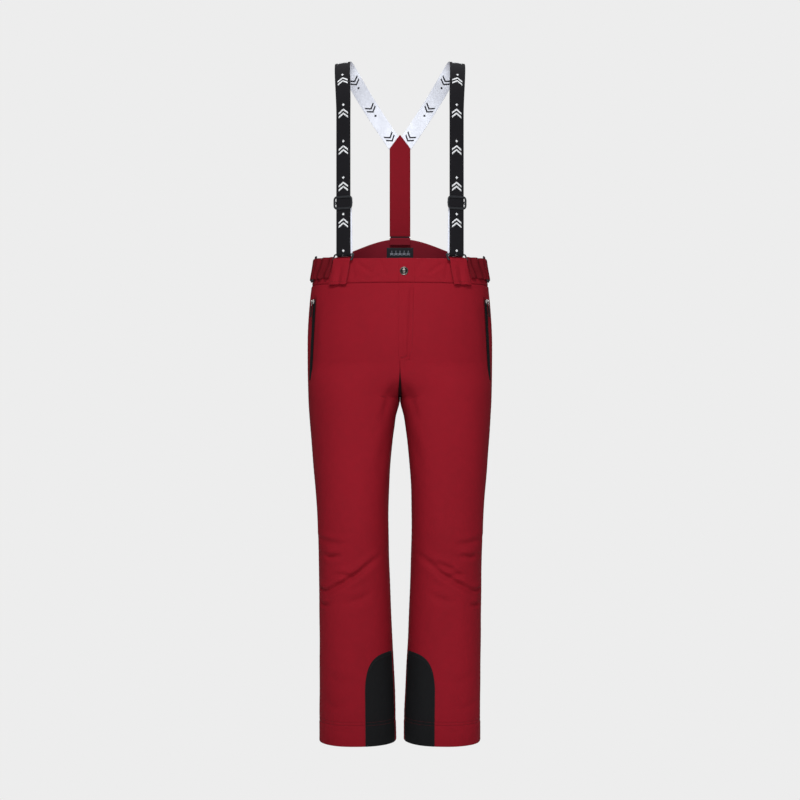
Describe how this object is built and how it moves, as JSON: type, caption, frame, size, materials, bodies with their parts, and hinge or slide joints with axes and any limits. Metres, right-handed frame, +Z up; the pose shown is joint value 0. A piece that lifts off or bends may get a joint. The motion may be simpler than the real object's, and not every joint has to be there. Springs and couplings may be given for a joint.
{
  "type": "ski pants",
  "caption": "Ski pants with a zipped snap fly, zipped side pockets, hook-and-loop waist adjusters, ankle scuff guards and adjustable braces joined at the back.",
  "frame": {"origin": "middle of the hem plane, between the two leg ends and level with the side seams", "axes": "+Z up from the hems to the waist, +X towards the wearer's left leg, the fly faces -Y"},
  "size_m": [0.4152, 0.2719, 1.5243],
  "materials": {
    "shell_fabric": "matt woven softshell",
    "scuff_fabric": "dense matt weave",
    "lining": "smooth lining",
    "label": "woven satin",
    "webbing": "ribbed elastic webbing, black outside and white inside",
    "elastic": "ribbed elastic",
    "zip_tape": "woven tape with a coil",
    "hook_tape": "hook and loop pile",
    "cord": "matt cord",
    "black_plastic": "moulded, fine texture",
    "slider_metal": "dark gunmetal",
    "snap_metal": "gunmetal plating"
  },
  "bodies": {
    "root": {"front_panel_left": "shell_fabric", "front_panel_right": "shell_fabric", "back_panel_left": "shell_fabric", "back_panel_right": "shell_fabric", "waistband_front_left": "shell_fabric", "waistband_front_right": "shell_fabric", "waistband_back": "shell_fabric", "back_label": "label", "scuff_guard_left": "scuff_fabric", "scuff_guard_right": "scuff_fabric", "gaiter_left": "lining", "gaiter_right": "lining", "gaiter_elastic_left": "elastic", "gaiter_elastic_right": "elastic", "pocket_bag_left": "lining", "pocket_bag_right": "lining", "pocket_zip_left": "zip_tape", "pocket_zip_right": "zip_tape", "fly_shield": "lining", "fly_zip": "zip_tape", "snap_stud": "snap_metal", "snap_post": "snap_metal", "suspender_tab_left": "shell_fabric", "suspender_tab_right": "shell_fabric", "suspender_strap_left": "webbing", "suspender_strap_right": "webbing", "strap_return_left": "webbing", "strap_return_right": "webbing", "back_strap": "shell_fabric", "back_strap_elastic": "elastic", "back_tab": "shell_fabric", "adjuster_ring_left": "black_plastic", "adjuster_ring_right": "black_plastic", "adjuster_anchor_left": "shell_fabric", "adjuster_anchor_right": "shell_fabric", "adjuster_strap_left": "shell_fabric", "adjuster_strap_right": "shell_fabric", "loop_pad_left": "hook_tape", "loop_pad_right": "hook_tape"},
    "fly_flap": {"fly_placket": "shell_fabric", "fly_waist_tab": "shell_fabric", "snap_cap": "snap_metal", "snap_socket": "snap_metal"},
    "fly_slider": {"fly_zip_slider": "slider_metal", "fly_zip_pull": "slider_metal"},
    "pocket_slider_left": {"pocket_zip_slider_left": "slider_metal"},
    "pocket_pull_left": {"pocket_zip_pull_left": "cord"},
    "strap_slider_left": {"strap_slider_left": "black_plastic"},
    "suspender_ring_left": {"suspender_ring_left": "black_plastic"},
    "adjuster_flap_left": {"adjuster_flap_left": "shell_fabric", "hook_pad_left": "hook_tape"},
    "pocket_slider_right": {"pocket_zip_slider_right": "slider_metal"},
    "pocket_pull_right": {"pocket_zip_pull_right": "cord"},
    "strap_slider_right": {"strap_slider_right": "black_plastic"},
    "suspender_ring_right": {"suspender_ring_right": "black_plastic"},
    "adjuster_flap_right": {"adjuster_flap_right": "shell_fabric", "hook_pad_right": "hook_tape"}
  },
  "joints": [
    {"name": "pocket_zip_left_slide", "type": "slide", "parent": "root", "child": "pocket_slider_left", "axis": [0.0532, 0.0612, -0.9967], "range_m": [0, 0.165]},
    {"name": "pocket_pull_left_swing", "type": "hinge", "parent": "pocket_slider_left", "child": "pocket_pull_left", "pos_m": [0.19503, -0.05424, 0.98115], "axis": [-0.4132, -0.9073, -0.0778], "range_deg": [0, 150]},
    {"name": "strap_slider_left_slide", "type": "slide", "parent": "root", "child": "strap_slider_left", "axis": [0, 0, 1], "range_m": [-0.07, 0.18], "deforming": ["strap_return_left"]},
    {"name": "suspender_ring_left_swing", "type": "hinge", "parent": "root", "child": "suspender_ring_left", "pos_m": [0.12653, -0.10013, 1.068], "axis": [-0.9001, -0.4357, 0], "range_deg": [-6, 6]},
    {"name": "adjuster_flap_left_peel", "type": "hinge", "parent": "root", "child": "adjuster_flap_left", "pos_m": [0.19307, -0.02806, 1.053], "axis": [0.1637, -0.0414, -0.9856], "range_deg": [0, 100]},
    {"name": "pocket_zip_right_slide", "type": "slide", "parent": "root", "child": "pocket_slider_right", "axis": [-0.0532, 0.0612, -0.9967], "range_m": [0, 0.165]},
    {"name": "pocket_pull_right_swing", "type": "hinge", "parent": "pocket_slider_right", "child": "pocket_pull_right", "pos_m": [-0.19503, -0.05424, 0.98115], "axis": [-0.4132, 0.9073, 0.0778], "range_deg": [0, 150]},
    {"name": "strap_slider_right_slide", "type": "slide", "parent": "root", "child": "strap_slider_right", "axis": [0, 0, 1], "range_m": [-0.07, 0.18], "deforming": ["strap_return_right"]},
    {"name": "suspender_ring_right_swing", "type": "hinge", "parent": "root", "child": "suspender_ring_right", "pos_m": [-0.12653, -0.10013, 1.068], "axis": [-0.9001, 0.4357, 0], "range_deg": [-6, 6]},
    {"name": "adjuster_flap_right_peel", "type": "hinge", "parent": "root", "child": "adjuster_flap_right", "pos_m": [-0.19307, -0.02806, 1.053], "axis": [0.1637, 0.0414, 0.9856], "range_deg": [0, 100]},
    {"name": "fly_zip_slide", "type": "slide", "parent": "root", "child": "fly_slider", "axis": [0, -0.0282, -0.9996], "range_m": [0, 0.125]},
    {"name": "fly_flap_open", "type": "hinge", "parent": "root", "child": "fly_flap", "pos_m": [0.029, -0.12719, 0.958], "axis": [0, 0.0462, 0.9989], "range_deg": [0, 70]}
  ]
}
